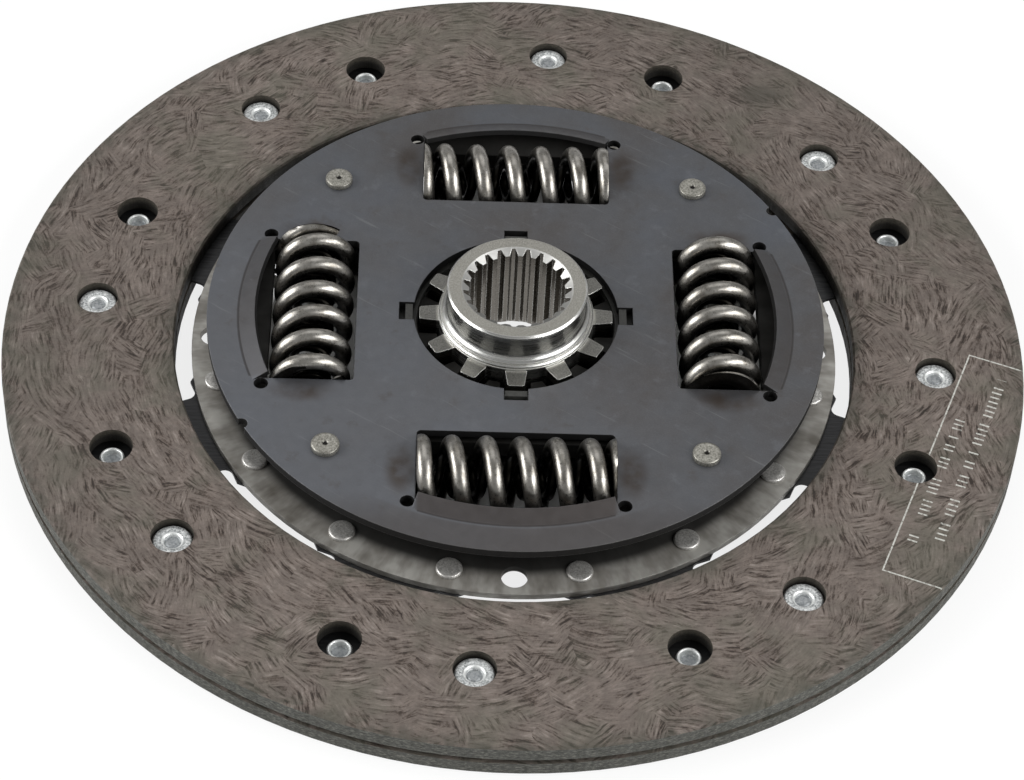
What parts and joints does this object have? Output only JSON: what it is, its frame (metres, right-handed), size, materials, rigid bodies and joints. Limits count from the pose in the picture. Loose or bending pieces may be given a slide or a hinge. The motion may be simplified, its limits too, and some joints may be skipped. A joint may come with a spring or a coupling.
{
  "type": "clutch disc",
  "caption": "Dry clutch disc with riveted friction facings on waved cushion segments, and a sprung damper round a splined hub.",
  "frame": {"origin": "on the disc's axis, half way between the two friction faces", "axes": "+Z along the axis to the gearbox side, where the hub stands out; +X through a damper window"},
  "size_m": [0.24, 0.24, 0.0254],
  "materials": {
    "friction_lining": "wound fibre friction lining, matt, brown-grey",
    "zinc_rivet": "plated steel rivet, speckled",
    "segment_steel": "tempered spring steel sheet",
    "carrier_steel": "dark phosphated steel",
    "cover_steel": "blue-grey satin nitrided steel",
    "hub_steel": "turned bright steel",
    "spring_steel": "dark oiled spring steel",
    "damper_plastic": "grey moulded plastic"
  },
  "bodies": {
    "disc": {"friction_facing_gearbox_side": "friction_lining", "friction_facing_flywheel_side": "friction_lining", "facing_rivets_gearbox_side": "zinc_rivet", "facing_rivets_flywheel_side": "zinc_rivet", "cushion_segment_1": "segment_steel", "cushion_segment_2": "segment_steel", "cushion_segment_3": "segment_steel", "cushion_segment_4": "segment_steel", "cushion_segment_5": "segment_steel", "cushion_segment_6": "segment_steel", "cushion_segment_7": "segment_steel", "cushion_segment_8": "segment_steel", "carrier_plate": "carrier_steel", "segment_rivets": "carrier_steel", "cover_plate": "cover_steel", "spacer_rivets": "cover_steel", "centring_bush": "damper_plastic", "friction_ring": "damper_plastic", "disc_spring": "spring_steel"},
    "damper_springs": {"outer_spring_1": "spring_steel", "outer_spring_2": "spring_steel", "outer_spring_3": "spring_steel", "outer_spring_4": "spring_steel", "inner_spring_1": "spring_steel", "inner_spring_2": "spring_steel", "inner_spring_3": "spring_steel", "inner_spring_4": "spring_steel"},
    "hub_flange": {"hub_flange": "carrier_steel"},
    "idle_springs": {"idle_spring_1": "spring_steel", "idle_spring_2": "spring_steel", "idle_spring_3": "spring_steel", "idle_spring_4": "spring_steel"},
    "hub": {"hub": "hub_steel", "idle_plate": "carrier_steel"}
  },
  "joints": [
    {"name": "damper_twist", "type": "hinge", "parent": "disc", "child": "hub_flange", "pos_m": [0, 0, 0], "axis": [0, 0, 1], "range_deg": [-8, 8], "stiffness_Nm_per_rad": 2},
    {"name": "damper_spring_turn", "type": "hinge", "parent": "disc", "child": "damper_springs", "pos_m": [0, 0, 0], "axis": [0, 0, 1], "range_deg": [-4, 4], "deforming": ["outer_spring_1", "outer_spring_2", "outer_spring_3", "outer_spring_4", "inner_spring_1", "inner_spring_2", "inner_spring_3", "inner_spring_4"]},
    {"name": "idle_twist", "type": "hinge", "parent": "hub_flange", "child": "hub", "pos_m": [0, 0, 0], "axis": [0, 0, 1], "range_deg": [-3, 3], "stiffness_Nm_per_rad": 1},
    {"name": "idle_spring_turn", "type": "hinge", "parent": "hub_flange", "child": "idle_springs", "pos_m": [0, 0, 0], "axis": [0, 0, 1], "range_deg": [-1.5, 1.5], "deforming": ["idle_spring_1", "idle_spring_2", "idle_spring_3", "idle_spring_4"]}
  ],
  "couplings": [
    {"joint": "damper_spring_turn", "follows": "damper_twist", "ratio": 0.5},
    {"joint": "idle_spring_turn", "follows": "idle_twist", "ratio": 0.5}
  ]
}
